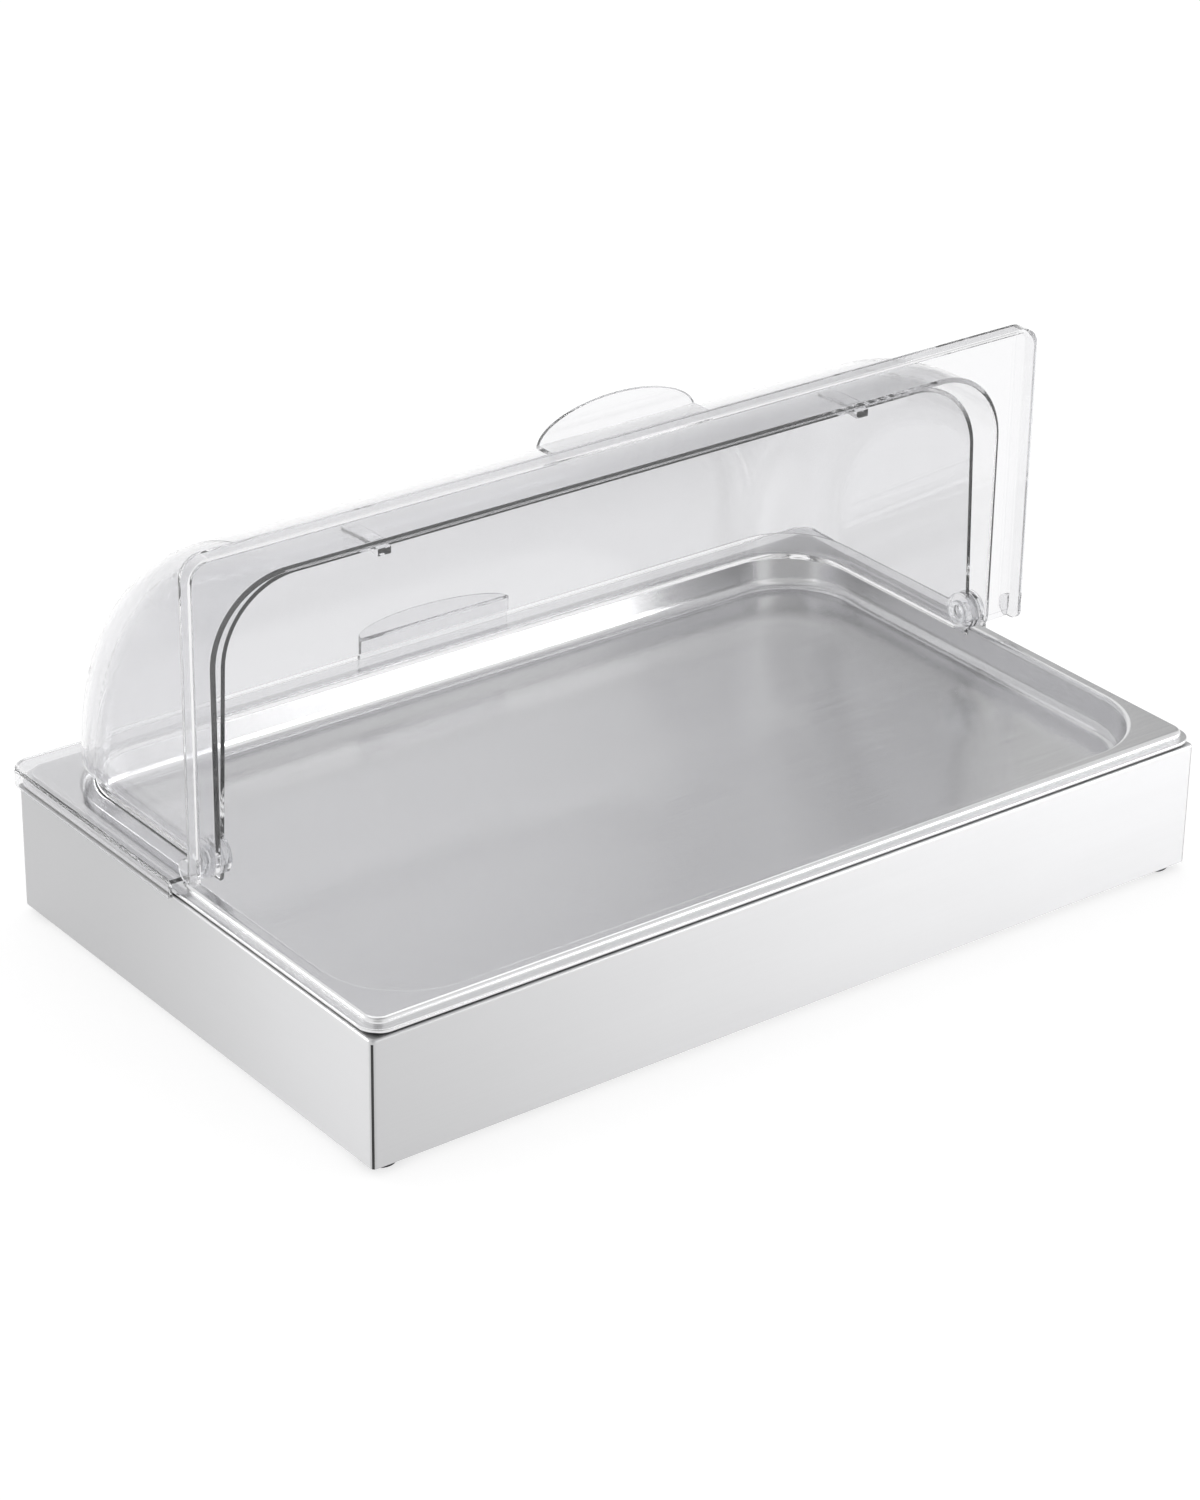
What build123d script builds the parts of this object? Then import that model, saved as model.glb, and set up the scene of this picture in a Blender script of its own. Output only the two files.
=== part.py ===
from build123d import *
import math
import os

os.makedirs("parts", exist_ok=True)

# Driving dimensions, all in millimetres and degrees

# Food pan: a full-size gastronorm tray, 530 by 325, 20 deep
pan_length = 530.0
pan_width = 325.0
pan_depth = 20.0
pan_sheet = 0.8
pan_rim_width = 12.5
pan_outer_corner = 12.0
pan_inner_corner = 48.0
pan_draft = 5.0
pan_rim_bend = 2.6
pan_throat_bend = 3.0
pan_floor_bend = 7.0
pan_lip_drop = 8.0
pan_hem_width = 3.5
pan_hem_thickness = 2.0
pan_hem_round = 0.8
pan_hem_lift = 2.0

# Housing: a folded sheet box whose top ledge carries the pan's turned-down lip
pan_overhang_end = 0.5
pan_overhang_side = 1.0
housing_height = 70.6
housing_sheet = 1.0
housing_corner = 2.5
housing_top_bend = 1.5
housing_return = 24.0
housing_return_corner = 6.0
ledge_clearance = 0.9

# Base plate, laid on the housing's bottom return
plate_sheet = 1.0
plate_clearance = 0.8
plate_corner = 4.0

# Feet and what holds them
foot_height = 4.0
foot_diameter = 18.0
foot_taper = 12.0
foot_inset = 12.0
foot_recess_depth = 2.6
screw_diameter = 4.0
screw_head_diameter = 7.0
screw_head_height = 2.2
screw_tail = 1.0
screw_slot_length = 4.4
screw_slot_width = 1.0
screw_slot_depth = 1.1
screw_hole_clearance = 0.25
thread_clearance = 0.05
recess_clearance = 0.6
washer_diameter = 9.0
washer_thickness = 0.8
nut_across_flats = 7.0
nut_height = 3.2

# Cold packs, two by two on the base plate
pack_gap = 8.0
pack_side_gap = 12.0
pack_height = 45.0
pack_wall = 1.8
pack_corner = 14.0
pack_edge = 6.0
pack_panel_inset = 26.0
pack_panel_depth = 1.6
pack_recess_diameter = 40.0
pack_recess_depth = 9.0
pack_recess_inset = 46.0
pack_neck_diameter = 22.0
pack_neck_wall = 2.2
pack_neck_height = 5.0
pack_cap_diameter = 29.0
pack_cap_top = 2.2
pack_cap_grips = 12
pack_cap_grip_radius = 1.1
pack_seal_thickness = 0.8
fill_clearance = 0.4
fill_headroom = 4.0

# Hood shell, both halves
hood_wall = 2.4
hood_end_clearance = 1.2
hood_side_clearance = 2.4
hood_lip_depth = 9.8
hood_plan_corner = 12.0
hood_edge_round = 2.0
hood_seat_gap = 0.3
hinge_height = 13.3
hinge_setback = 2.6

# Rear half, the smaller inner shell
rear_side_inset = 19.0
rear_end_inset = 20.2
rear_draft = 2.0
rear_corner = 44.0
rear_arch_lead = 4.2
rear_flange_start = 6.6
rear_root_fillet = 3.0
rib_spacing = 152.0
rib_width = 7.7
rib_top_clearance = 0.5
rib_root = 1.0
rib_lead = 14.0
rib_tail = 19.0

# Front half, the larger outer shell, drawn rolled back
shell_gap = 3.4
front_end_gap = 4.8
front_draft = 0.7
front_corner = 41.6
front_tail = 4.2
tail_relief = 0.5
front_root_fillet = 0.4
front_mouth_round = 0.4
ear_length = 12.0
ear_depth = 16.8
ear_round = 5.4

# Handle tab, the same on both halves
tab_half_width = 49.5
tab_rise = 12.5
tab_reach = 17.0
tab_round = 0.8

# Hinge pins
boss_radius = 10.5
boss_inner_step = 0.7
boss_outer_reach = 2.2
boss_gap = 0.4
front_boss_proud = 0.4
pin_diameter = 8.0
pin_running_clearance = 0.05
pin_head_diameter = 13.0
pin_head_height = 2.4
pin_cap_diameter = 13.0
pin_cap_height = 3.0
pin_cap_floor = 1.0
pin_cap_gap = 0.25
pin_round = 0.6

# Levels and spans worked out from the sizes above
housing_length = pan_length - 2 * pan_overhang_end
housing_width = pan_width - 2 * pan_overhang_side
housing_low = foot_height
housing_top = housing_low + housing_height
rim_level = housing_top + pan_lip_drop
floor_level = rim_level - pan_depth
rear_radius = pan_width / 2 - rear_side_inset
rear_half_length = pan_length / 2 - rear_end_inset
hood_length = pan_length + 2 * (hood_end_clearance + hood_wall)
hood_width = pan_width + 2 * (hood_side_clearance + hood_wall)
hinge_level = rim_level + hood_seat_gap + hinge_height
flange_top = hood_wall - hinge_height
lip_low = flange_top - hood_lip_depth

# The frame's origin lies under the middle of the whole box, rear tab included
mid_y = -(hood_width / 2 + tab_reach - pan_width / 2) / 2
hinge_y = mid_y + hinge_setback


def plan(level):
    """Horizontal plane at a height, centred on the unit's plan."""
    return Plane(origin=(0, mid_y, level))


# Food pan


def dished_block(skin, length, width, corner, base):
    """Block with a tapered dish in its top; its upper skin is one side of the pan's sheet.

    skin is the depth below the sheet's upper side, zero for the upper side itself.
    """
    slope = math.radians(pan_draft)
    top = rim_level - skin
    widen = skin / math.cos(slope) - skin * math.tan(slope)
    mouth_length = pan_length - 2 * pan_rim_width + 2 * widen
    mouth_width = pan_width - 2 * pan_rim_width + 2 * widen
    with BuildPart() as block:
        with BuildSketch(plan(base)):
            RectangleRounded(length - 2 * skin, width - 2 * skin, corner - skin)
        extrude(amount=top - base)
        with BuildSketch(plan(top)):
            RectangleRounded(mouth_length, mouth_width, pan_inner_corner + widen)
        extrude(amount=-pan_depth, taper=pan_draft, mode=Mode.SUBTRACT)
        top_face = block.faces().sort_by(Axis.Z)[-1]
        rim_edges = top_face.outer_wire().edges()
        throat_edges = top_face.inner_wires()[0].edges()
        floor_face = block.faces().filter_by(Axis.Z).sort_by(Axis.Z)[1]
        floor_edges = floor_face.outer_wire().edges()
        fillet(floor_edges, pan_floor_bend + skin)
        fillet(throat_edges, pan_throat_bend - skin)
        fillet(rim_edges, pan_rim_bend - skin)
    return block.part


lip_length = pan_length - 2 * pan_hem_width
lip_width = pan_width - 2 * pan_hem_width
lip_corner = pan_outer_corner - pan_hem_width
block_base = floor_level - 2 * pan_floor_bend
upper_skin = dished_block(0.0, lip_length, lip_width, lip_corner, block_base)
lower_skin = dished_block(pan_sheet, lip_length, lip_width, lip_corner, block_base)
hem_low = housing_top + pan_hem_lift

with BuildPart() as food_pan:
    add(upper_skin)
    add(lower_skin, mode=Mode.SUBTRACT)
    # The turned-down lip ends on the housing's ledge and carries the pan
    with BuildSketch(plan(block_base)):
        Rectangle(pan_length, pan_width)
        RectangleRounded(
            lip_length - 2 * pan_rim_bend,
            lip_width - 2 * pan_rim_bend,
            lip_corner - pan_rim_bend,
            mode=Mode.SUBTRACT,
        )
    extrude(amount=housing_top - block_base, mode=Mode.SUBTRACT)
    # Out-turned hem, folded back on itself, just clear of the ledge
    with BuildSketch(plan(hem_low)):
        RectangleRounded(pan_length, pan_width, pan_outer_corner)
        RectangleRounded(
            lip_length - pan_sheet,
            lip_width - pan_sheet,
            lip_corner - pan_sheet / 2,
            mode=Mode.SUBTRACT,
        )
    hem_ring = extrude(amount=pan_hem_thickness, mode=Mode.PRIVATE)
    hem_faces = hem_ring.faces().filter_by(Axis.Z)
    hem_edges = hem_faces[0].outer_wire().edges() + hem_faces[1].outer_wire().edges()
    add(hem_ring.fillet(pan_hem_round, hem_edges))
food_pan.part.label = "food_pan"
export_step(food_pan.part, "parts/food_pan.step")


# Housing


def folded_box(inset, low, high, corner, bend):
    """Rounded block the size of the housing, taken in by an inset, with its top edge rounded."""
    with BuildPart() as box:
        with BuildSketch(plan(low)):
            RectangleRounded(housing_length - 2 * inset, housing_width - 2 * inset, corner)
        extrude(amount=high - low)
        top_face = box.faces().sort_by(Axis.Z)[-1]
        fillet(top_face.edges(), bend)
    return box.part


below_rim = pan_lip_drop * math.tan(math.radians(pan_draft))
wall_step = pan_sheet + ledge_clearance - below_rim
opening_length = pan_length - 2 * pan_rim_width + 2 * wall_step
opening_width = pan_width - 2 * pan_rim_width + 2 * wall_step
opening_corner = pan_inner_corner + wall_step
return_length = housing_length - 2 * housing_return
return_width = housing_width - 2 * housing_return
foot_x = housing_length / 2 - foot_inset
foot_y = housing_width / 2 - foot_inset
corners = {
    "front_left": (-1, -1),
    "front_right": (1, -1),
    "rear_left": (-1, 1),
    "rear_right": (1, 1),
}


def foot_plane(side, level):
    """Plane on one foot's axis at a height."""
    return Plane(origin=(side[0] * foot_x, mid_y + side[1] * foot_y, level))


def foot_planes(level):
    """The same plane on all four feet."""
    return [foot_plane(side, level) for side in corners.values()]


screw_hole = screw_diameter / 2 + screw_hole_clearance

with BuildPart() as housing:
    add(folded_box(0.0, housing_low, housing_top, housing_corner, housing_top_bend))
    add(
        folded_box(
            housing_sheet,
            housing_low + housing_sheet,
            housing_top - housing_sheet,
            housing_corner - housing_sheet,
            housing_top_bend - housing_sheet,
        ),
        mode=Mode.SUBTRACT,
    )
    with BuildSketch(plan(housing_top - 2 * housing_sheet)):
        RectangleRounded(opening_length, opening_width, opening_corner)
    extrude(amount=3 * housing_sheet, mode=Mode.SUBTRACT)
    with BuildSketch(plan(housing_low - housing_sheet)):
        RectangleRounded(return_length, return_width, housing_return_corner)
    extrude(amount=3 * housing_sheet, mode=Mode.SUBTRACT)
    with BuildSketch(*foot_planes(housing_low - housing_sheet)):
        Circle(screw_hole)
    extrude(amount=3 * housing_sheet, mode=Mode.SUBTRACT)
housing.part.label = "housing"
export_step(housing.part, "parts/housing.step")

# Base plate

plate_low = housing_low + housing_sheet
plate_top = plate_low + plate_sheet
plate_length = housing_length - 2 * (housing_sheet + plate_clearance)
plate_width = housing_width - 2 * (housing_sheet + plate_clearance)

with BuildPart() as base_plate:
    with BuildSketch(plan(plate_low)):
        RectangleRounded(plate_length, plate_width, plate_corner)
    extrude(amount=plate_sheet)
    with BuildSketch(*foot_planes(plate_low - plate_sheet)):
        Circle(screw_hole)
    extrude(amount=3 * plate_sheet, mode=Mode.SUBTRACT)
base_plate.part.label = "base_plate"
export_step(base_plate.part, "parts/base_plate.step")

# Feet

for corner_name, side in corners.items():
    with BuildPart() as foot:
        with BuildSketch(foot_plane(side, foot_height)):
            Circle(foot_diameter / 2)
        extrude(amount=-foot_height, taper=foot_taper)
        with BuildSketch(foot_plane(side, 0)):
            Circle(screw_head_diameter / 2 + recess_clearance)
        extrude(amount=foot_recess_depth, mode=Mode.SUBTRACT)
        with BuildSketch(foot_plane(side, 0)):
            Circle(screw_hole)
        extrude(amount=foot_height, mode=Mode.SUBTRACT)
    foot.part.label = "foot_" + corner_name
    export_step(foot.part, "parts/foot_" + corner_name + ".step")

nut_low = plate_top + washer_thickness
screw_top = nut_low + nut_height + screw_tail
head_low = foot_recess_depth - screw_head_height

with BuildPart() as foot_screws:
    with BuildSketch(*foot_planes(head_low)):
        Circle(screw_head_diameter / 2)
    extrude(amount=screw_head_height)
    with BuildSketch(*foot_planes(foot_recess_depth)):
        Circle(screw_diameter / 2)
    extrude(amount=screw_top - foot_recess_depth)
    with BuildSketch(*foot_planes(head_low)):
        Rectangle(screw_slot_length, screw_slot_width)
        Rectangle(screw_slot_width, screw_slot_length)
    extrude(amount=screw_slot_depth, mode=Mode.SUBTRACT)
foot_screws.part.label = "foot_screws"
export_step(foot_screws.part, "parts/foot_screws.step")

with BuildPart() as foot_washers:
    with BuildSketch(*foot_planes(plate_top)):
        Circle(washer_diameter / 2)
        Circle(screw_hole, mode=Mode.SUBTRACT)
    extrude(amount=washer_thickness)
foot_washers.part.label = "foot_washers"
export_step(foot_washers.part, "parts/foot_washers.step")

with BuildPart() as foot_nuts:
    with BuildSketch(*foot_planes(nut_low)):
        RegularPolygon(nut_across_flats / 2, 6, major_radius=False)
        Circle(screw_diameter / 2 + thread_clearance, mode=Mode.SUBTRACT)
    extrude(amount=nut_height)
foot_nuts.part.label = "foot_nuts"
export_step(foot_nuts.part, "parts/foot_nuts.step")

# Cold packs

pack_length = (plate_length - 2 * pack_side_gap - pack_gap) / 2
pack_width = (plate_width - 2 * pack_side_gap - pack_gap) / 2
pack_x = (pack_length + pack_gap) / 2
pack_y = (pack_width + pack_gap) / 2
pack_top = plate_top + pack_height
recess_floor = pack_top - pack_recess_depth
neck_top = recess_floor + pack_neck_height
seal_top = neck_top + pack_seal_thickness
recess_offset = pack_length / 2 - pack_recess_inset


def pack_plane(side, level):
    """Plane on the middle of one pack at a height."""
    return Plane(origin=(side[0] * pack_x, mid_y + side[1] * pack_y, level))


def neck_plane(side, level):
    """Plane on one pack's filler neck at a height; the necks are at the outer ends."""
    return Plane(origin=(side[0] * (pack_x + recess_offset), mid_y + side[1] * pack_y, level))


def pack_block(side, inset, low, high):
    """Round-edged block the size of one pack, taken in by an inset."""
    with BuildPart() as block:
        with BuildSketch(pack_plane(side, low)):
            RectangleRounded(pack_length - 2 * inset, pack_width - 2 * inset, pack_corner - inset)
        extrude(amount=high - low)
        flat_faces = block.faces().filter_by(Axis.Z)
        fillet(flat_faces[0].edges() + flat_faces[1].edges(), pack_edge - inset)
    return block.part


def pack_inside(side, shrink, high):
    """Inside of one pack below a height, standing clear of the cap recess by the shrink."""
    low = plate_top + pack_wall + min(shrink, 0)
    round_wall = pack_recess_diameter / 2 + pack_wall + shrink
    with BuildPart() as inside:
        add(pack_block(side, pack_wall + shrink, low, high))
        with BuildSketch(neck_plane(side, recess_floor - pack_wall - shrink)):
            Circle(round_wall)
        extrude(amount=pack_height, mode=Mode.SUBTRACT)
    return inside.part


for corner_name, side in corners.items():
    hollow = pack_inside(side, 0.0, pack_top - pack_wall - pack_panel_depth)
    with BuildPart() as cold_pack:
        add(pack_block(side, 0.0, plate_top, pack_top))
        # Sunk panel in the top, which lets the pack swell as it freezes
        with BuildSketch(pack_plane(side, pack_top - pack_panel_depth)):
            RectangleRounded(
                pack_length - 2 * pack_panel_inset, pack_width - 2 * pack_panel_inset, pack_corner
            )
        extrude(amount=2 * pack_panel_depth, mode=Mode.SUBTRACT)
        with BuildSketch(neck_plane(side, recess_floor)):
            Circle(pack_recess_diameter / 2)
        extrude(amount=pack_height, mode=Mode.SUBTRACT)
        add(hollow, mode=Mode.SUBTRACT)
        with BuildSketch(neck_plane(side, recess_floor)):
            Circle(pack_neck_diameter / 2)
        extrude(amount=pack_neck_height)
        with BuildSketch(neck_plane(side, recess_floor - 2 * pack_wall)):
            Circle(pack_neck_diameter / 2 - pack_neck_wall)
        extrude(amount=pack_height, mode=Mode.SUBTRACT)
    cold_pack.part.label = "cold_pack_" + corner_name
    export_step(cold_pack.part, "parts/cold_pack_" + corner_name + ".step")

    fill_top = pack_top - pack_wall - pack_panel_depth - fill_headroom
    with BuildPart() as coolant_fill:
        add(pack_inside(side, fill_clearance, fill_top))
    coolant_fill.part.label = "coolant_fill_" + corner_name
    export_step(coolant_fill.part, "parts/coolant_fill_" + corner_name + ".step")

    with BuildPart() as pack_seal:
        with BuildSketch(neck_plane(side, neck_top)):
            Circle(pack_neck_diameter / 2)
            Circle(pack_neck_diameter / 2 - pack_neck_wall, mode=Mode.SUBTRACT)
        extrude(amount=pack_seal_thickness)
    pack_seal.part.label = "pack_seal_" + corner_name
    export_step(pack_seal.part, "parts/pack_seal_" + corner_name + ".step")

    skirt = pack_neck_height - fill_clearance + pack_seal_thickness
    with BuildPart() as pack_cap:
        with BuildSketch(neck_plane(side, seal_top - skirt)):
            Circle(pack_cap_diameter / 2)
            with PolarLocations(pack_cap_diameter / 2, pack_cap_grips):
                Circle(pack_cap_grip_radius, mode=Mode.SUBTRACT)
        extrude(amount=skirt + pack_cap_top)
        with BuildSketch(neck_plane(side, seal_top - skirt)):
            Circle(pack_neck_diameter / 2 + fill_clearance)
        extrude(amount=skirt, mode=Mode.SUBTRACT)
    pack_cap.part.label = "pack_cap_" + corner_name
    export_step(pack_cap.part, "parts/pack_cap_" + corner_name + ".step")


# Hoods. Each half is drawn about the hinge line: x along it, y towards the rear and z up
# with that half shut. The rear half's seat is upright; the front half's is rolled back.

hinge_point = (0, hinge_y, hinge_level)
rear_seat = Plane(origin=hinge_point, x_dir=(1, 0, 0), z_dir=(0, 0, 1))
front_seat = Plane(origin=hinge_point, x_dir=(1, 0, 0), z_dir=(0, 1, 0))
far = hood_length


def level_plane(seat, back, up):
    """Plane parallel to a half's flange, moved towards the rear and up."""
    origin = seat.origin + seat.y_dir * back + seat.z_dir * up
    return Plane(origin=origin, x_dir=seat.x_dir, z_dir=seat.z_dir)


def cross_plane(seat, along):
    """Plane across the hinge line: its x is towards the rear and its y is up."""
    origin = seat.origin + seat.x_dir * along
    return Plane(origin=origin, x_dir=seat.y_dir, z_dir=seat.x_dir)


def hood_dome(seat, radius, half_length, draft, corner):
    """Solid barrel about the hinge line on a straight skirt, with leaning, rounded ends."""
    lean = math.tan(math.radians(draft))
    low_half = half_length + hinge_height * lean
    high_half = half_length - radius * lean
    end_view = Plane(origin=seat.origin, x_dir=seat.x_dir, z_dir=-seat.y_dir)
    with BuildPart() as dome:
        with BuildSketch(cross_plane(seat, 0)):
            Circle(radius)
            Rectangle(2 * radius, radius, align=(Align.CENTER, Align.MAX), mode=Mode.SUBTRACT)
            Rectangle(2 * radius, hinge_height, align=(Align.CENTER, Align.MAX))
        extrude(amount=far, both=True)
        with BuildSketch(end_view):
            with BuildLine():
                Polyline(
                    (-low_half, -hinge_height),
                    (low_half, -hinge_height),
                    (high_half, radius),
                    (-high_half, radius),
                    close=True,
                )
            make_face()
        extrude(amount=far, both=True, mode=Mode.INTERSECT)
        flat_faces = dome.faces().filter_by(GeomType.PLANE)
        end_faces = flat_faces.filter_by(lambda face: abs(face.normal_at().X) > 0.9)
        end_edges = end_faces[0].edges() + end_faces[1].edges()
        round_edges = end_edges.filter_by(
            lambda edge: seat.to_local_coords(edge.center()).Z > -hinge_height / 2 - hood_wall
        )
        fillet(round_edges, corner)
    return dome.part


def hood_tray(seat):
    """Flange plate with its turned-down lip, before the dome is cut through it."""
    with BuildPart() as tray:
        with BuildSketch(level_plane(seat, -hinge_setback, lip_low)):
            RectangleRounded(hood_length, hood_width, hood_plan_corner)
        extrude(amount=hood_lip_depth)
        top_face = tray.faces().sort_by(lambda face: seat.to_local_coords(face.center()).Z)[-1]
        fillet(top_face.edges(), hood_edge_round)
        with BuildSketch(level_plane(seat, -hinge_setback, lip_low)):
            RectangleRounded(
                hood_length - 2 * hood_wall, hood_width - 2 * hood_wall, hood_plan_corner - hood_wall
            )
        extrude(amount=hood_lip_depth - hood_wall, mode=Mode.SUBTRACT)
    return tray.part


def hood_shell(seat, radius, half_length, draft, corner, root_fillet, mouth_round):
    """Whole lid: tray and dome in one wall, with rounded root and mouth."""
    inner_half = half_length - hood_wall
    with BuildPart() as shell:
        add(hood_tray(seat))
        add(hood_dome(seat, radius, half_length, draft, corner))
        root_edges = shell.edges().filter_by(
            lambda edge: abs(seat.to_local_coords(edge.center()).Z - flange_top) < hood_wall / 10
            and abs(seat.to_local_coords(edge.center()).X) < half_length + hood_wall
            and abs(seat.to_local_coords(edge.center()).Y) < radius + hood_wall / 2
        )
        fillet(root_edges, root_fillet)
        add(
            hood_dome(seat, radius - hood_wall, inner_half, draft, corner - hood_wall),
            mode=Mode.SUBTRACT,
        )
        mouth_edges = shell.edges().filter_by(
            lambda edge: abs(seat.to_local_coords(edge.center()).Z + hinge_height) < hood_wall / 10
            and abs(seat.to_local_coords(edge.center()).X) < half_length
            and abs(seat.to_local_coords(edge.center()).Y) < radius - hood_wall / 2
        )
        fillet(mouth_edges, mouth_round)
    return shell.part


def handle_tab(seat, side):
    """Upright strip on the flange's edge that carries a half-round finger plate."""
    edge = side * hood_width / 2 - hinge_setback
    inner = edge - side * hood_wall
    tab_top = flange_top + tab_rise
    align = Align.MAX if side > 0 else Align.MIN
    with BuildPart() as tab:
        with BuildSketch(level_plane(seat, edge, flange_top - hood_wall / 2)):
            Rectangle(2 * tab_half_width, hood_wall, align=(Align.CENTER, align))
        extrude(amount=tab_rise + hood_wall / 2)
        with BuildSketch(level_plane(seat, inner, tab_top - hood_wall)):
            Ellipse(tab_half_width, tab_reach + hood_wall)
            Rectangle(
                2 * tab_half_width,
                2 * tab_reach,
                align=(Align.CENTER, align),
                mode=Mode.SUBTRACT,
            )
        extrude(amount=hood_wall)
        top_face = tab.faces().sort_by(lambda face: seat.to_local_coords(face.center()).Z)[-1]
        fillet(top_face.edges(), tab_round)
    return tab.part


# Rear hood

rear_inner_face = rear_half_length - hood_wall - boss_inner_step
rear_outer_face = rear_half_length + boss_outer_reach
rib_top = rear_radius + shell_gap - rib_top_clearance
rear_dome = hood_dome(rear_seat, rear_radius, rear_half_length, rear_draft, rear_corner)
rear_shell = hood_shell(
    rear_seat,
    rear_radius,
    rear_half_length,
    rear_draft,
    rear_corner,
    rear_root_fillet,
    rear_root_fillet / 2,
)

with BuildPart() as rear_cut:
    with BuildSketch(cross_plane(rear_seat, 0)):
        with Locations((rear_flange_start, 0)):
            Rectangle(far, far, align=(Align.MAX, Align.CENTER))
    extrude(amount=far, both=True)
    add(rear_dome, mode=Mode.SUBTRACT)
    with BuildSketch(cross_plane(rear_seat, 0)):
        with Locations((-rear_arch_lead, 0)):
            Rectangle(far, far, align=(Align.MAX, Align.CENTER))
    extrude(amount=far, both=True)

with BuildPart() as rear_hood:
    add(rear_shell)
    add(rear_cut.part, mode=Mode.SUBTRACT)
    for end in (-1, 1):
        with BuildSketch(cross_plane(rear_seat, end * rear_inner_face)):
            Circle(boss_radius)
        extrude(amount=end * (rear_outer_face - rear_inner_face))
        with BuildSketch(cross_plane(rear_seat, end * rib_spacing)):
            Circle(rib_top)
            Circle(rear_radius - rib_root, mode=Mode.SUBTRACT)
            with Locations(((rib_tail - rib_lead) / 2, rib_top)):
                Rectangle(rib_tail + rib_lead, rib_top, mode=Mode.INTERSECT)
        extrude(amount=rib_width / 2, both=True)
        with BuildSketch(cross_plane(rear_seat, end * rear_inner_face)):
            Circle(pin_diameter / 2)
        extrude(amount=end * (rear_outer_face - rear_inner_face), mode=Mode.SUBTRACT)
    add(handle_tab(rear_seat, 1))
rear_hood.part.label = "rear_hood"
export_step(rear_hood.part, "parts/rear_hood.step")

# Front hood

front_radius = rear_radius + shell_gap + hood_wall
front_half_length = rear_half_length + front_end_gap + hood_wall
front_boss_face = rear_outer_face + boss_gap
front_boss_end = front_half_length + front_boss_proud
front_boss_thickness = front_boss_end - front_boss_face
ear_inner = hood_length / 2 - hood_wall
front_shell = hood_shell(
    front_seat,
    front_radius,
    front_half_length,
    front_draft,
    front_corner + hood_wall,
    front_root_fillet,
    front_mouth_round,
)

with BuildPart() as front_hood:
    add(front_shell)
    # Everything behind the hinge line goes, but for a short tail of flange and skirt
    with BuildSketch(cross_plane(front_seat, 0)):
        Rectangle(far, far, align=(Align.MIN, Align.MIN))
        with Locations((front_tail, 0)):
            Rectangle(far, far, align=(Align.MIN, Align.MAX))
    extrude(amount=far, both=True, mode=Mode.SUBTRACT)
    # The tail's underside is relieved, so that it swings over the pan's rim
    with BuildSketch(cross_plane(front_seat, 0)):
        Rectangle(far, far, align=(Align.MIN, Align.MAX))
        Circle(hinge_height - tail_relief, mode=Mode.SUBTRACT)
    extrude(amount=ear_inner, both=True, mode=Mode.SUBTRACT)
    # At the hinge the lip ends in a rounded ear, which stands up past the flange
    for end in (-1, 1):
        with BuildSketch(cross_plane(front_seat, end * ear_inner)):
            with Locations((front_tail, lip_low)):
                Rectangle(ear_length / 2, ear_depth / 2, align=(Align.MAX, Align.MIN))
        extrude(amount=end * hood_wall, mode=Mode.SUBTRACT)
        with BuildSketch(cross_plane(front_seat, end * ear_inner)):
            with Locations((front_tail, lip_low)):
                RectangleRounded(ear_length, ear_depth, ear_round, align=(Align.MAX, Align.MIN))
        extrude(amount=end * hood_wall)
        with BuildSketch(cross_plane(front_seat, end * front_boss_face)):
            Circle(boss_radius)
        extrude(amount=end * front_boss_thickness)
        with BuildSketch(cross_plane(front_seat, end * front_boss_face)):
            Circle(pin_diameter / 2 + pin_running_clearance)
        extrude(amount=end * front_boss_thickness, mode=Mode.SUBTRACT)
    add(handle_tab(front_seat, -1))
front_hood.part.label = "front_hood"
export_step(front_hood.part, "parts/front_hood.step")

# Hinge pins and their caps

cap_face = front_boss_end + pin_cap_gap
cap_end = cap_face + pin_cap_height
pin_end = cap_end - pin_cap_floor

for end_name, end in {"left": -1, "right": 1}.items():
    with BuildPart() as pivot_pin:
        with BuildSketch(cross_plane(rear_seat, end * rear_inner_face)):
            Circle(pin_head_diameter / 2)
        extrude(amount=-end * pin_head_height)
        head_face = pivot_pin.faces().sort_by(Axis.X)[0 if end > 0 else -1]
        fillet(head_face.edges(), pin_round)
        with BuildSketch(cross_plane(rear_seat, end * rear_inner_face)):
            Circle(pin_diameter / 2)
        extrude(amount=end * (pin_end - rear_inner_face))
    pivot_pin.part.label = "pivot_pin_" + end_name
    export_step(pivot_pin.part, "parts/pivot_pin_" + end_name + ".step")

    with BuildPart() as pivot_cap:
        with BuildSketch(cross_plane(rear_seat, end * cap_face)):
            Circle(pin_cap_diameter / 2)
        extrude(amount=end * pin_cap_height)
        outer_face = pivot_cap.faces().sort_by(Axis.X)[-1 if end > 0 else 0]
        fillet(outer_face.edges(), pin_round)
        with BuildSketch(cross_plane(rear_seat, end * cap_face)):
            Circle(pin_diameter / 2)
        extrude(amount=end * (pin_cap_height - pin_cap_floor), mode=Mode.SUBTRACT)
    pivot_cap.part.label = "pivot_cap_" + end_name
    export_step(pivot_cap.part, "parts/pivot_cap_" + end_name + ".step")
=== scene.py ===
"""Chilled condiment server: a stainless cold base, a shallow pan and a clear roll-top hood."""

import logging
import math
from dataclasses import dataclass
from enum import Enum

import bmesh
import bpy
from mathutils import Matrix, Vector


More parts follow.
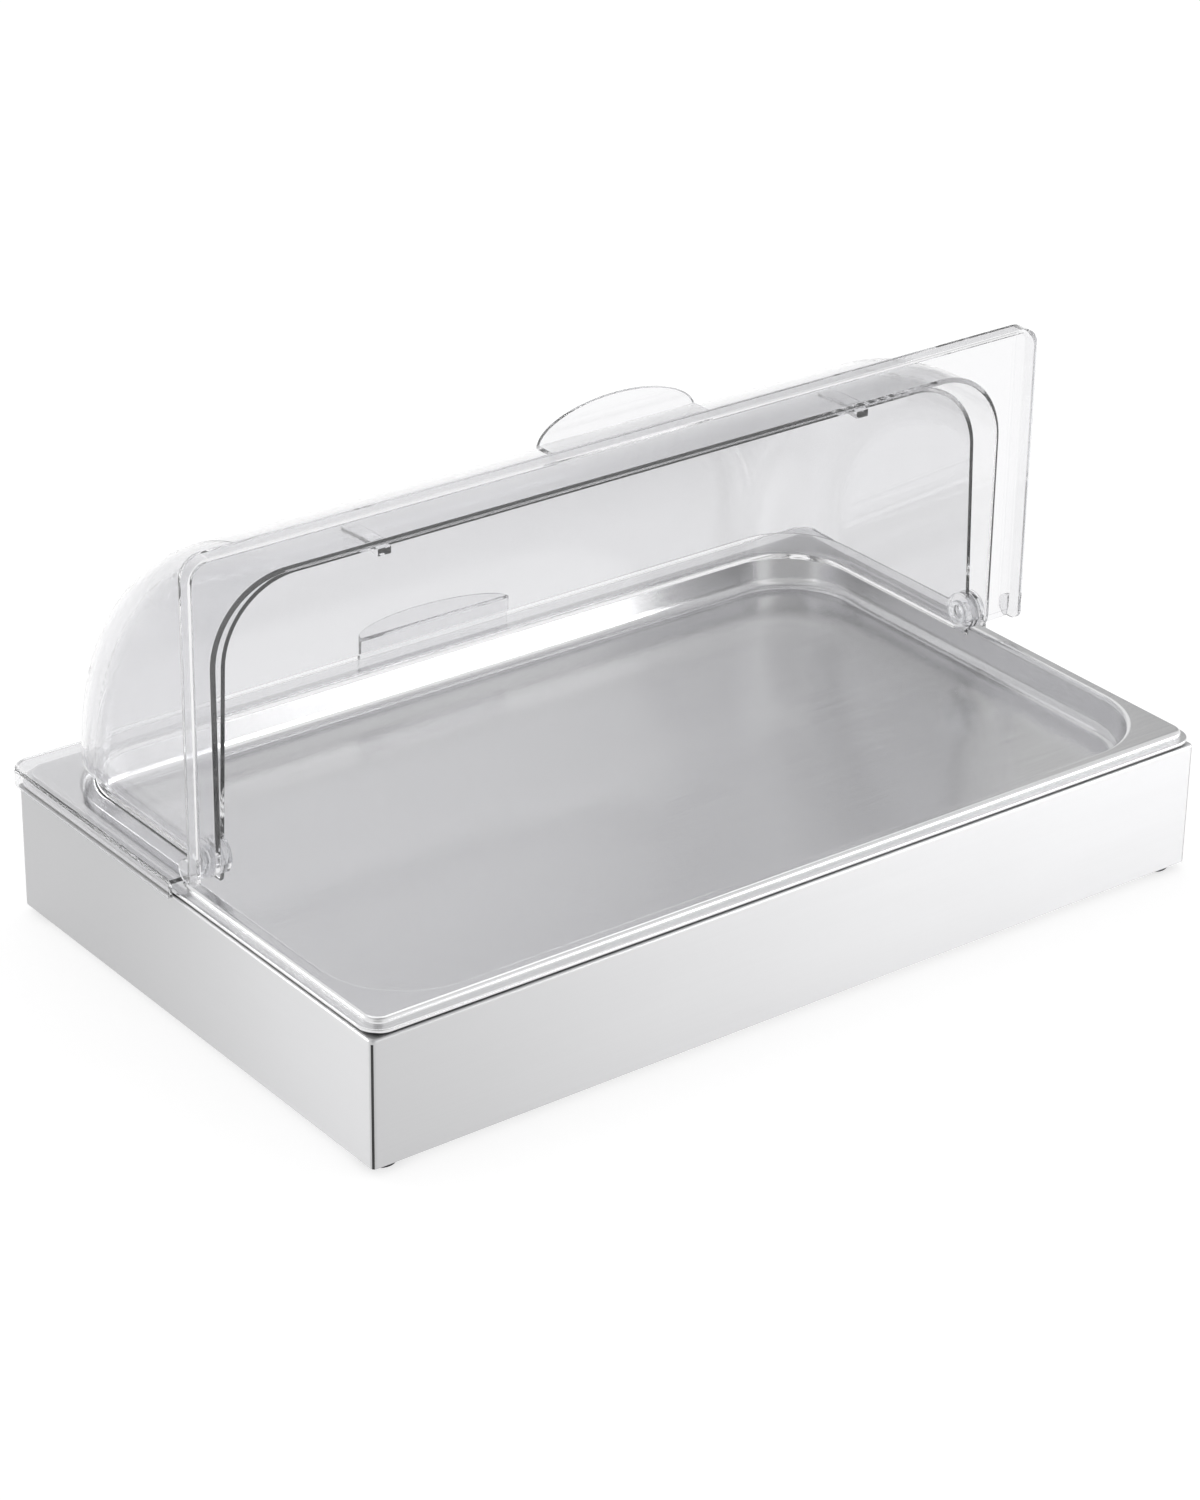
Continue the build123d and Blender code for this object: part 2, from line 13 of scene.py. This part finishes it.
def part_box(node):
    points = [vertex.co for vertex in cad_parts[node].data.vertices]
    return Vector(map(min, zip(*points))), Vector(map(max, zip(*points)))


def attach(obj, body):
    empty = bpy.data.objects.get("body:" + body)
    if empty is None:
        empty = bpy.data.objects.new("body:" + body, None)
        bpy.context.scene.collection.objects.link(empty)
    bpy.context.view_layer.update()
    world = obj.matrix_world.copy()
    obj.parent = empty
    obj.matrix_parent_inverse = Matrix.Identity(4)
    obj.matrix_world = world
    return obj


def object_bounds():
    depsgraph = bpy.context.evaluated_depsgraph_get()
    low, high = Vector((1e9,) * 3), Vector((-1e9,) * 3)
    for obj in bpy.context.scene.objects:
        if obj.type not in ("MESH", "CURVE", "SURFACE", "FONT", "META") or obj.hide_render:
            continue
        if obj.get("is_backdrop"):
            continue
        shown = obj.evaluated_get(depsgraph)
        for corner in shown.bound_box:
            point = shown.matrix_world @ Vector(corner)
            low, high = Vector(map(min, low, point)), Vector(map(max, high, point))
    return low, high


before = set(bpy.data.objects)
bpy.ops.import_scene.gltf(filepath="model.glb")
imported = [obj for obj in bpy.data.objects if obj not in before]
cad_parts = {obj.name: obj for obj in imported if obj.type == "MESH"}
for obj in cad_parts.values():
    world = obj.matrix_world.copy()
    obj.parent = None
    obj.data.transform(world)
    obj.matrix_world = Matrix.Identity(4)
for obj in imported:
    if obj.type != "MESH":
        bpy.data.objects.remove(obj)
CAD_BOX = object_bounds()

LOG = logging.getLogger("condiment_server")
MM = 0.001

# Corners of the base, each with its side along X and along Y
CORNERS = {"front_left": (-1, -1), "front_right": (1, -1), "rear_left": (-1, 1), "rear_right": (1, 1)}

# Noise values between which most of a pattern lies
NOISE_LOW = 0.3
NOISE_HIGH = 0.7
HAZE_LOW = 0.35
HAZE_HIGH = 0.75

# How far the slow clouds of a steel sheet blend into its fine lines
CLOUD_SHARE = 0.35

# Painted shade on steel in folds, crevices and between parts: rays that sound out how open a point is, the
# openness at which the painted shade is darkest and at which it is as bright as the sheet, and its darkest
# level
PAINTED_SHADE_RAYS = 8
PAINTED_SHADE_SHUT = 0.12
PAINTED_SHADE_OPEN = 0.55
PAINTED_SHADE_TONE = 0.04


def linear(hex_colour: str) -> tuple[float, float, float, float]:
    """Turn an sRGB hex colour into linear light.

    Args:
        hex_colour: Colour as "#RRGGBB".

    Returns:
        Linear red, green, blue and a full alpha.
    """
    shares = [int(hex_colour[i : i + 2], 16) / 255 for i in (1, 3, 5)]
    light = [s / 12.92 if s <= 0.04045 else ((s + 0.055) / 1.055) ** 2.4 for s in shares]
    return (light[0], light[1], light[2], 1.0)


def grey(level: float) -> tuple[float, float, float, float]:
    """Neutral linear colour of one level."""
    return (level, level, level, 1.0)


def add_node(
    tree: bpy.types.NodeTree,
    kind: str,
    sockets: dict | None = None,
    **fields: object,
) -> bpy.types.Node:
    """Add one node, set its fields, and set or link its input sockets.

    Args:
        tree: Node tree that gets the node.
        kind: Blender's name of the node type, without the "ShaderNode" in front.
        sockets: Input socket, by name or number, to a value or to the output socket that feeds it.
        fields: The node's own settings.

    Returns:
        The new node.
    """
    node = tree.nodes.new("ShaderNode" + kind)
    for name, value in fields.items():
        setattr(node, name, value)
    for key, value in (sockets or {}).items():
        if isinstance(value, bpy.types.NodeSocket):
            tree.links.new(value, node.inputs[key])
        else:
            node.inputs[key].default_value = value
    return node


def new_material(name: str) -> tuple[bpy.types.Material, bpy.types.NodeTree, bpy.types.Node]:
    """Start a node material with only its output.

    Args:
        name: Name of the finish.

    Returns:
        The material, its node tree and its output node.
    """
    material = bpy.data.materials.new(name)
    material.use_nodes = True
    tree = material.node_tree
    tree.nodes.clear()
    return material, tree, add_node(tree, "OutputMaterial")


def per_metre(spacing_mm: float) -> float:
    """Texture scale whose pattern repeats about once in a spacing given in millimetres."""
    return 1.0 / (spacing_mm * MM)


class Grain(Enum):
    """Which way a sheet's finishing lines run."""

    ROUND_THE_WALLS = "round the walls"
    ALONG_THE_LENGTH = "along the length"


@dataclass(frozen=True)
class StainlessSheet:
    """Stainless 304 sheet with a satin finish left by an abrasive belt or by drawing and buffing.

    The eye sees a pale neutral grey mirror gone soft, with fine lines that widen every highlight across them.
    Painted shade darkens the metal deep in folds and crevices and between parts, the more so the more closed
    in it is.
    The lines are drawn coarser than the grit that leaves them, so that they show from a step away.
    """

    name: str
    colour: str
    shade: str
    rough_low: float
    rough_high: float
    grain: Grain
    line_mm: float
    streak_mm: float
    cloud_mm: float
    bump_mm: float
    anisotropy: float
    # Reach of the painted shade in folds, crevices and between parts, and whether only the part's own faces
    # cast it
    painted_shade_mm: float
    painted_shade_alone: bool

    def material(self) -> bpy.types.Material:
        """Build the finish.

        Returns:
            The finished material.
        """
        material, tree, out = new_material(self.name)
        place = add_node(tree, "TexCoord").outputs["Object"]
        fine = per_metre(self.line_mm)
        slow = per_metre(self.streak_mm)
        spread = (slow, slow, fine) if self.grain is Grain.ROUND_THE_WALLS else (slow, fine, fine)
        lines_at = add_node(tree, "Mapping", {"Vector": place, "Scale": spread})
        lines = add_node(
            tree,
            "TexNoise",
            {"Vector": lines_at.outputs["Vector"], "Scale": 1.0, "Detail": 3.0, "Roughness": 0.6},
        )
        clouds = add_node(
            tree,
            "TexNoise",
            {"Vector": place, "Scale": per_metre(self.cloud_mm), "Detail": 2.0, "Roughness": 0.5},
        )
        both = add_node(
            tree,
            "Mix",
            {"Factor": CLOUD_SHARE, 2: lines.outputs["Fac"], 3: clouds.outputs["Fac"]},
        )
        rough = add_node(
            tree,
            "MapRange",
            {
                "Value": both.outputs[0],
                "From Min": NOISE_LOW,
                "From Max": NOISE_HIGH,
                "To Min": self.rough_low,
                "To Max": self.rough_high,
            },
        )
        tint = add_node(
            tree,
            "Mix",
            {"Factor": both.outputs[0], "A": linear(self.shade), "B": linear(self.colour)},
            data_type="RGBA",
        )
        # Painted shade: darken the colour where ambient occlusion finds the metal closed in, in folds,
        # crevices and between parts
        painted_shade_ao = add_node(
            tree,
            "AmbientOcclusion",
            {"Distance": self.painted_shade_mm * MM},
            samples=PAINTED_SHADE_RAYS,
            only_local=self.painted_shade_alone,
        )
        painted_shade_level = add_node(
            tree,
            "MapRange",
            {
                "Value": painted_shade_ao.outputs["AO"],
                "From Min": PAINTED_SHADE_SHUT,
                "From Max": PAINTED_SHADE_OPEN,
                "To Min": PAINTED_SHADE_TONE,
                "To Max": 1.0,
            },
            interpolation_type="SMOOTHSTEP",
        )
        # Colour darkened by the painted shade
        tone = add_node(
            tree,
            "VectorMath",
            {0: tint.outputs["Result"], "Scale": painted_shade_level.outputs["Result"]},
            operation="SCALE",
        )
        bump = add_node(
            tree,
            "Bump",
            {"Height": lines.outputs["Fac"], "Distance": self.bump_mm * MM, "Strength": 0.6},
        )
        steel = add_node(
            tree,
            "BsdfPrincipled",
            {
                "Base Color": tone.outputs["Vector"],
                "Metallic": 1.0,
                "Roughness": rough.outputs["Result"],
                "Anisotropic": self.anisotropy,
                "Anisotropic Rotation": 0.25,
                "Normal": bump.outputs["Normal"],
            },
        )
        if self.anisotropy > 0:
            along = add_node(tree, "Tangent", direction_type="RADIAL", axis="Z")
            tree.links.new(along.outputs["Tangent"], steel.inputs["Tangent"])
        tree.links.new(steel.outputs["BSDF"], out.inputs["Surface"])
        return material


@dataclass(frozen=True)
class ClearMoulding:
    """Polycarbonate, injection moulded in a polished tool.

    The eye sees clear water-white plastic: bright where it mirrors, thin dark lines where its edges bend the
    light, and a slow waviness from the melt's flow. A piece pressed home against its like lets light out
    unbent, so the two look like one.
    """

    name: str
    tint: str
    clarity: float
    ior: float
    rough_low: float
    rough_high: float
    flow_mm: float
    flow_bump_mm: float
    haze_mm: float
    pressed_home: bool

    def material(self) -> bpy.types.Material:
        """Build the finish.

        Returns:
            The finished material.
        """
        material, tree, out = new_material(self.name)
        place = add_node(tree, "TexCoord").outputs["Object"]
        flow = add_node(
            tree,
            "TexNoise",
            {"Vector": place, "Scale": per_metre(self.flow_mm), "Detail": 1.0, "Roughness": 0.4},
        )
        haze = add_node(
            tree,
            "TexNoise",
            {"Vector": place, "Scale": per_metre(self.haze_mm), "Detail": 4.0, "Roughness": 0.55},
        )
        rough = add_node(
            tree,
            "MapRange",
            {
                "Value": haze.outputs["Fac"],
                "From Min": HAZE_LOW,
                "From Max": HAZE_HIGH,
                "To Min": self.rough_low,
                "To Max": self.rough_high,
            },
        )
        bump = add_node(
            tree,
            "Bump",
            {"Height": flow.outputs["Fac"], "Distance": self.flow_bump_mm * MM, "Strength": 0.5},
        )
        plastic = add_node(
            tree,
            "BsdfPrincipled",
            {
                "Base Color": linear(self.tint),
                "Roughness": rough.outputs["Result"],
                "IOR": self.ior,
                "Transmission Weight": self.clarity,
                "Normal": bump.outputs["Normal"],
            },
        )
        surface = plastic.outputs["BSDF"]
        if self.pressed_home:
            leaving = add_node(tree, "NewGeometry").outputs["Backfacing"]
            unbent = add_node(tree, "BsdfTransparent").outputs["BSDF"]
            surface = add_node(tree, "MixShader", {0: leaving, 1: surface, 2: unbent}).outputs["Shader"]
        tree.links.new(surface, out.inputs["Surface"])
        return material


@dataclass(frozen=True)
class SolidMoulding:
    """Opaque moulded or plated piece: rubber, filled plastic, gel or zinc plate.

    The eye sees one colour with slow clouds of a second, and a fine grain that breaks up the gloss.
    """

    name: str
    colour: str
    second: str
    rough_low: float
    rough_high: float
    metallic: float
    cloud_mm: float
    grain_mm: float
    grain_depth_mm: float

    def material(self) -> bpy.types.Material:
        """Build the finish.

        Returns:
            The finished material.
        """
        material, tree, out = new_material(self.name)
        place = add_node(tree, "TexCoord").outputs["Object"]
        clouds = add_node(
            tree,
            "TexNoise",
            {"Vector": place, "Scale": per_metre(self.cloud_mm), "Detail": 3.0, "Roughness": 0.55},
        )
        grain = add_node(
            tree,
            "TexNoise",
            {"Vector": place, "Scale": per_metre(self.grain_mm), "Detail": 2.0, "Roughness": 0.6},
        )
        tint = add_node(
            tree,
            "Mix",
            {"Factor": clouds.outputs["Fac"], "A": linear(self.colour), "B": linear(self.second)},
            data_type="RGBA",
        )
        rough = add_node(
            tree,
            "MapRange",
            {
                "Value": clouds.outputs["Fac"],
                "From Min": NOISE_LOW,
                "From Max": NOISE_HIGH,
                "To Min": self.rough_low,
                "To Max": self.rough_high,
            },
        )
        bump = add_node(
            tree,
            "Bump",
            {"Height": grain.outputs["Fac"], "Distance": self.grain_depth_mm * MM, "Strength": 0.7},
        )
        skin = add_node(
            tree,
            "BsdfPrincipled",
            {
                "Base Color": tint.outputs["Result"],
                "Metallic": self.metallic,
                "Roughness": rough.outputs["Result"],
                "Normal": bump.outputs["Normal"],
            },
        )
        tree.links.new(skin.outputs["BSDF"], out.inputs["Surface"])
        return material


Finish = StainlessSheet | ClearMoulding | SolidMoulding

BELT_BRUSHED = StainlessSheet(
    name="stainless_304_belt_brushed",
    colour="#CFCFD0",
    shade="#C6C6C7",
    rough_low=0.38,
    rough_high=0.46,
    grain=Grain.ROUND_THE_WALLS,
    line_mm=0.9,
    streak_mm=140.0,
    cloud_mm=140.0,
    bump_mm=0.01,
    anisotropy=0.8,
    # Painted shade within 6 mm, cast by nearby parts too
    painted_shade_mm=6.0,
    painted_shade_alone=False,
)
DRAWN_SATIN = StainlessSheet(
    name="stainless_304_drawn_and_buffed",
    colour="#E8E8E9",
    shade="#DEDEDF",
    rough_low=0.18,
    rough_high=0.25,
    grain=Grain.ALONG_THE_LENGTH,
    line_mm=1.6,
    streak_mm=60.0,
    cloud_mm=120.0,
    bump_mm=0.012,
    anisotropy=0.0,
    # Painted shade within 5 mm, cast by the pan's own folds only
    painted_shade_mm=5.0,
    painted_shade_alone=True,
)
CLEAR_HOOD = ClearMoulding(
    name="polycarbonate_moulded_clear",
    tint="#F4F4F5",
    clarity=0.985,
    ior=1.585,
    rough_low=0.0,
    rough_high=0.006,
    flow_mm=180.0,
    flow_bump_mm=0.015,
    haze_mm=45.0,
    pressed_home=False,
)
CLEAR_PIN = ClearMoulding(
    name="polycarbonate_moulded_pin",
    tint="#FAFBFC",
    clarity=0.985,
    ior=1.585,
    rough_low=0.0,
    rough_high=0.02,
    flow_mm=12.0,
    flow_bump_mm=0.05,
    haze_mm=6.0,
    pressed_home=True,
)
FOOT_RUBBER = SolidMoulding(
    name="neoprene_moulded_foot",
    colour="#3A3A3C",
    second="#2B2B2D",
    rough_low=0.6,
    rough_high=0.8,
    metallic=0.0,
    cloud_mm=9.0,
    grain_mm=0.5,
    grain_depth_mm=0.04,
)
ZINC_PLATE = SolidMoulding(
    name="steel_bright_zinc_plated",
    colour="#C9CBD0",
    second="#B4B7BD",
    rough_low=0.25,
    rough_high=0.4,
    metallic=1.0,
    cloud_mm=4.0,
    grain_mm=0.3,
    grain_depth_mm=0.01,
)
PACK_SHELL = SolidMoulding(
    name="polyethylene_blow_moulded_shell",
    colour="#EEF2F5",
    second="#DCE5EC",
    rough_low=0.42,
    rough_high=0.58,
    metallic=0.0,
    cloud_mm=60.0,
    grain_mm=1.2,
    grain_depth_mm=0.05,
)
PACK_CAP = SolidMoulding(
    name="polypropylene_moulded_cap",
    colour="#2F62A6",
    second="#28568F",
    rough_low=0.38,
    rough_high=0.5,
    metallic=0.0,
    cloud_mm=14.0,
    grain_mm=0.5,
    grain_depth_mm=0.03,
)
COOLANT_GEL = SolidMoulding(
    name="carboxymethyl_cellulose_gel_set",
    colour="#5C97CF",
    second="#3F7CB8",
    rough_low=0.08,
    rough_high=0.2,
    metallic=0.0,
    cloud_mm=25.0,
    grain_mm=5.0,
    grain_depth_mm=0.2,
)
SEAL_RUBBER = SolidMoulding(
    name="epdm_moulded_seal",
    colour="#1F1F21",
    second="#161617",
    rough_low=0.55,
    rough_high=0.7,
    metallic=0.0,
    cloud_mm=5.0,
    grain_mm=0.4,
    grain_depth_mm=0.03,
)
# Painted shade: dark grey strips standing for the shade inside the open seam at each corner of the housing
SEAM_SHADOW = SolidMoulding(
    name="open_seam_painted_shade",
    colour="#4A4A4A",
    second="#3C3C3C",
    rough_low=0.5,
    rough_high=0.7,
    metallic=0.6,
    cloud_mm=15.0,
    grain_mm=0.8,
    grain_depth_mm=0.02,
)


def dress_nodes(finish: Finish, names: list[str]) -> None:
    """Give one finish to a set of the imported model's nodes.

    Args:
        finish: The finish they share.
        names: Node names.
    """
    material = finish.material()
    for name in names:
        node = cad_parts[name]
        node.data.materials.clear()
        node.data.materials.append(material)
        LOG.info("%s: %s", name, finish.name)


@dataclass
class ColdBase:
    """Folded housing on rubber feet, with its plate and the fasteners that hold the feet. Sizes are in mm."""

    seam_width: float = 1.3
    seam_proud: float = 0.03
    corner_radius: float = 2.5
    seam_top_gap: float = 2.4
    seam_steps: int = 6

    def dress(self) -> None:
        """Give the housing, plate, feet and fasteners their finishes."""
        dress_nodes(BELT_BRUSHED, ["housing", "base_plate"])
        dress_nodes(FOOT_RUBBER, ["foot_" + corner for corner in CORNERS])
        dress_nodes(ZINC_PLATE, ["foot_screws", "foot_washers", "foot_nuts"])

    def seam_mesh(self, name: str, side_x: int, side_y: int) -> bpy.types.Mesh:
        """Bend one upright strip round a corner of the housing.

        Args:
            name: Name of the mesh.
            side_x: Side of the corner along X, -1 or 1.
            side_y: Side of the corner along Y, -1 or 1.

        Returns:
            The strip's mesh.
        """
        low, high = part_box("housing")
        radius = (self.corner_radius + self.seam_proud) * MM
        half_turn = self.seam_width / (2 * self.corner_radius)
        edge_x = (low.x if side_x < 0 else high.x) - side_x * self.corner_radius * MM
        edge_y = (low.y if side_y < 0 else high.y) - side_y * self.corner_radius * MM
        facing = math.atan2(side_y, side_x)
        top = high.z - self.seam_top_gap * MM
        shape = bmesh.new()
        columns = []
        for step in range(self.seam_steps + 1):
            turn = facing + half_turn * (2 * step / self.seam_steps - 1)
            x = edge_x + radius * math.cos(turn)
            y = edge_y + radius * math.sin(turn)
            columns.append((shape.verts.new((x, y, low.z)), shape.verts.new((x, y, top))))
        for (foot, head), (next_foot, next_head) in zip(columns, columns[1:]):
            shape.faces.new((foot, next_foot, next_head, head))
        mesh = bpy.data.meshes.new(name)
        shape.to_mesh(mesh)
        shape.free()
        return mesh

    def build(self) -> None:
        """Build a dark strip of painted shade on each corner of the housing where the folded walls meet,
        standing for the shade inside the open hairline seam.
        """
        material = SEAM_SHADOW.material()
        for corner, (side_x, side_y) in CORNERS.items():
            name = "corner_seam_" + corner
            mesh = self.seam_mesh(name, side_x, side_y)
            mesh.materials.append(material)
            seam = bpy.data.objects.new(name, mesh)
            bpy.context.scene.collection.objects.link(seam)
            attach(seam, "base")
            LOG.info("%s: built", name)


@dataclass
class FoodPan:
    """Shallow drawn pan with a flat rim, a turned-down lip and an out-turned hem."""

    def dress(self) -> None:
        """Give the pan its finish."""
        dress_nodes(DRAWN_SATIN, ["food_pan"])


@dataclass
class ColdPacks:
    """Four freezer packs under the pan, each a shell with gel, a seal and a cap."""

    def dress(self) -> None:
        """Give the shells, gel, seals and caps their finishes."""
        finishes = {
            "cold_pack_": PACK_SHELL,
            "coolant_fill_": COOLANT_GEL,
            "pack_seal_": SEAL_RUBBER,
            "pack_cap_": PACK_CAP,
        }
        for piece, finish in finishes.items():
            dress_nodes(finish, [piece + corner for corner in CORNERS])


@dataclass
class RollTopHood:
    """Clear hood in two halves, hung on two pins."""

    def dress(self) -> None:
        """Give both halves, the pins and their caps their finishes."""
        dress_nodes(CLEAR_HOOD, ["rear_hood", "front_hood"])
        dress_nodes(CLEAR_PIN, ["pivot_pin_left", "pivot_pin_right", "pivot_cap_left", "pivot_cap_right"])


@dataclass(frozen=True)
class Softbox:
    """One soft lamp, in metres and watts, whose beam a honeycomb grid may narrow to a spread in degrees.

    A lamp that reaches only some nodes is flagged off everything else.
    """

    name: str
    place: tuple[float, float, float]
    aim: tuple[float, float, float]
    size: tuple[float, float]
    power: float
    spread: float = 180.0
    reaches: tuple[str, ...] = ()

    def hang(self) -> None:
        """Hang the lamp, facing its aim."""
        light = bpy.data.lights.new(self.name, "AREA")
        light.shape = "RECTANGLE"
        light.size, light.size_y = self.size
        light.energy = self.power
        light.spread = math.radians(self.spread)
        lamp = bpy.data.objects.new(self.name, light)
        lamp.location = self.place
        lamp.rotation_mode = "QUATERNION"
        lamp.rotation_quaternion = (Vector(self.aim) - Vector(self.place)).to_track_quat("-Z", "Y")
        bpy.context.scene.collection.objects.link(lamp)
        if self.reaches:
            reached = bpy.data.collections.new(self.name + "_reaches")
            for node in self.reaches:
                reached.objects.link(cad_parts[node])
            lamp.light_linking.receiver_collection = reached


STEEL_NODES = ("housing", "food_pan")
SOFTBOXES = (
    Softbox(
        name="softbox_top",
        place=(0.2, 0.5, 2.2),
        aim=(0.0, 0.0, 0.0),
        size=(2.4, 1.8),
        power=11.0,
    ),
    Softbox(
        name="softbox_right",
        place=(1.0, -0.95, 0.22),
        aim=(0.2, -0.16, 0.04),
        size=(1.15, 0.35),
        power=7.6,
        reaches=STEEL_NODES,
    ),
    Softbox(
        name="softbox_left",
        place=(-0.85, 0.66, 0.22),
        aim=(-0.4, -0.45, 0.02),
        size=(0.25, 0.35),
        power=0.8,
        spread=30.0,
        reaches=STEEL_NODES,
    ),
)


@dataclass(frozen=True)
class DarkPatch:
    """Round patch of the surround that is darker than the rest, with its soft edge given as two cosines."""

    toward: tuple[float, float, float]
    edge_outer: float
    edge_inner: float
    tone: float

    def level(self, tree: bpy.types.NodeTree, way: bpy.types.NodeSocket) -> bpy.types.NodeSocket:
        """Work out how bright the surround stays under the patch.

        Args:
            tree: The surround's node tree.
            way: Direction looked in.

        Returns:
            Socket with 1 outside the patch and its tone inside.
        """
        facing = add_node(tree, "VectorMath", {0: way, 1: self.toward}, operation="DOT_PRODUCT")
        shade = add_node(
            tree,
            "MapRange",
            {
                "Value": facing.outputs["Value"],
                "From Min": self.edge_outer,
                "From Max": self.edge_inner,
                "To Min": 1.0,
                "To Max": self.tone,
            },
            interpolation_type="SMOOTHSTEP",
        )
        return shade.outputs["Result"]


@dataclass
class Surround:
    """Graded studio walls and ceiling, as levels at heights from the horizon, 0, to overhead, 1."""

    horizon: float = 1.0
    overhead: float = 0.2
    between: tuple[tuple[float, float], ...] = ((0.45, 0.99), (0.72, 0.95))
    camera_side: DarkPatch = DarkPatch((-0.57213, -0.74583, 0.34), 0.82, 0.94, 0.6)
    rear_right: DarkPatch = DarkPatch((0.779, 0.5455, 0.309), 0.94, 0.98, 0.45)

    def build(self) -> None:
        """Grade the surround: pale to well above the horizon, grey overhead, with its two darker patches."""
        world = bpy.data.worlds.new("studio_surround")
        bpy.context.scene.world = world
        world.use_nodes = True
        tree = world.node_tree
        tree.nodes.clear()
        way = add_node(tree, "TexCoord").outputs["Generated"]
        height = add_node(tree, "SeparateXYZ", {"Vector": way}).outputs["Z"]
        rise = add_node(tree, "MapRange", {"Value": height, "From Min": 0.0, "From Max": 1.0})
        ramp = add_node(tree, "ValToRGB", {"Fac": rise.outputs["Result"]})
        stops = ramp.color_ramp.elements
        stops[0].color = grey(self.horizon)
        stops[1].color = grey(self.overhead)
        for position, brightness in self.between:
            stops.new(position).color = grey(brightness)
        level = add_node(
            tree,
            "Math",
            {0: self.camera_side.level(tree, way), 1: self.rear_right.level(tree, way)},
            operation="MULTIPLY",
        )
        tone = add_node(
            tree,
            "VectorMath",
            {0: ramp.outputs["Color"], "Scale": level.outputs[0]},
            operation="SCALE",
        )
        back = add_node(tree, "Background", {"Color": tone.outputs["Vector"], "Strength": 1.0})
        add_node(tree, "OutputWorld", {"Surface": back.outputs["Background"]})


@dataclass
class Studio:
    """Pale floor, soft lamps, a graded surround and the camera. Lengths are in metres, angles in degrees."""

    floor_half: float = 12.0
    floor_colour: str = "#F6F6F6"
    floor_lift: float = 0.55
    floor_glow: float = 1.28
    azimuth: float = -37.492
    elevation: float = 26.792
    distance: float = 2.241962
    roll: float = -0.865
    target: tuple[float, float, float] = (-0.003337, -0.002929, 0.080)
    focal_pixels: float = 4269.329
    frame_height: float = 1500.0
    sensor_mm: float = 36.0
    clip_near: float = 0.05
    clip_far: float = 100.0
    light_bounces: int = 64
    mirror_bounces: int = 28

    def floor(self) -> None:
        """Lay the floor, which shows near white and still takes the object's shadow."""
        half = self.floor_half
        corners = [(-half, -half, 0), (half, -half, 0), (half, half, 0), (-half, half, 0)]
        mesh = bpy.data.meshes.new("studio_floor")
        mesh.from_pydata(corners, [], [(0, 1, 2, 3)])
        floor = bpy.data.objects.new("studio_floor", mesh)
        bpy.context.scene.collection.objects.link(floor)
        material, tree, out = new_material("floor_painted_board")
        rays = add_node(tree, "LightPath").outputs
        seen = add_node(
            tree,
            "Math",
            {0: rays["Is Camera Ray"], 1: rays["Is Glossy Ray"]},
            operation="MAXIMUM",
        )
        seen_all = add_node(
            tree,
            "Math",
            {0: seen.outputs[0], 1: rays["Is Transmission Ray"]},
            operation="MAXIMUM",
        )
        share = add_node(tree, "Math", {0: seen_all.outputs[0], 1: self.floor_lift}, operation="MULTIPLY")
        paint = add_node(tree, "BsdfDiffuse", {"Color": linear(self.floor_colour)})
        glow = add_node(tree, "Emission", {"Color": grey(1.0), "Strength": self.floor_glow})
        mix = add_node(
            tree,
            "MixShader",
            {0: share.outputs[0], 1: paint.outputs["BSDF"], 2: glow.outputs["Emission"]},
        )
        tree.links.new(mix.outputs["Shader"], out.inputs["Surface"])
        mesh.materials.append(material)
        floor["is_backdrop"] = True

    def camera(self) -> None:
        """Stand the camera where the photograph was taken from."""
        turn, rise, tilt = (math.radians(a) for a in (self.azimuth, self.elevation, self.roll))
        back = Vector((math.sin(turn) * math.cos(rise), -math.cos(turn) * math.cos(rise), math.sin(rise)))
        right = (-back).cross(Vector((0, 0, 1))).normalized()
        down = (-back).cross(right)
        rolled_right = math.cos(tilt) * right + math.sin(tilt) * down
        rolled_down = math.cos(tilt) * down - math.sin(tilt) * right
        data = bpy.data.cameras.new("portrait_camera")
        data.sensor_width = self.sensor_mm
        data.lens = self.focal_pixels / self.frame_height * self.sensor_mm
        data.clip_start = self.clip_near
        data.clip_end = self.clip_far
        camera = bpy.data.objects.new("portrait_camera", data)
        turned = Matrix((rolled_right, -rolled_down, back)).transposed().to_4x4()
        camera.matrix_world = Matrix.Translation(Vector(self.target) + back * self.distance) @ turned
        bpy.context.scene.collection.objects.link(camera)
        bpy.context.scene.camera = camera

    def build(self) -> None:
        """Set up the floor, lamps, surround and camera."""
        self.floor()
        for softbox in SOFTBOXES:
            softbox.hang()
        Surround().build()
        self.camera()
        bpy.context.scene.view_settings.view_transform = "Standard"
        light_paths = bpy.context.scene.cycles
        light_paths.max_bounces = self.light_bounces
        light_paths.transmission_bounces = self.light_bounces
        light_paths.glossy_bounces = self.mirror_bounces


def main() -> None:
    """Dress and build each sub-assembly, then the studio."""
    logging.basicConfig(level=logging.INFO, format="%(name)s: %(message)s")
    base = ColdBase()
    base.dress()
    base.build()
    FoodPan().dress()
    ColdPacks().dress()
    RollTopHood().dress()
    Studio().build()
    boxes = {"cad": CAD_BOX, "visual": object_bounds()}
    for name, (low, high) in boxes.items():
        LOG.info("%s box: %s to %s", name, tuple(low), tuple(high))


if __name__ == "__main__":
    main()
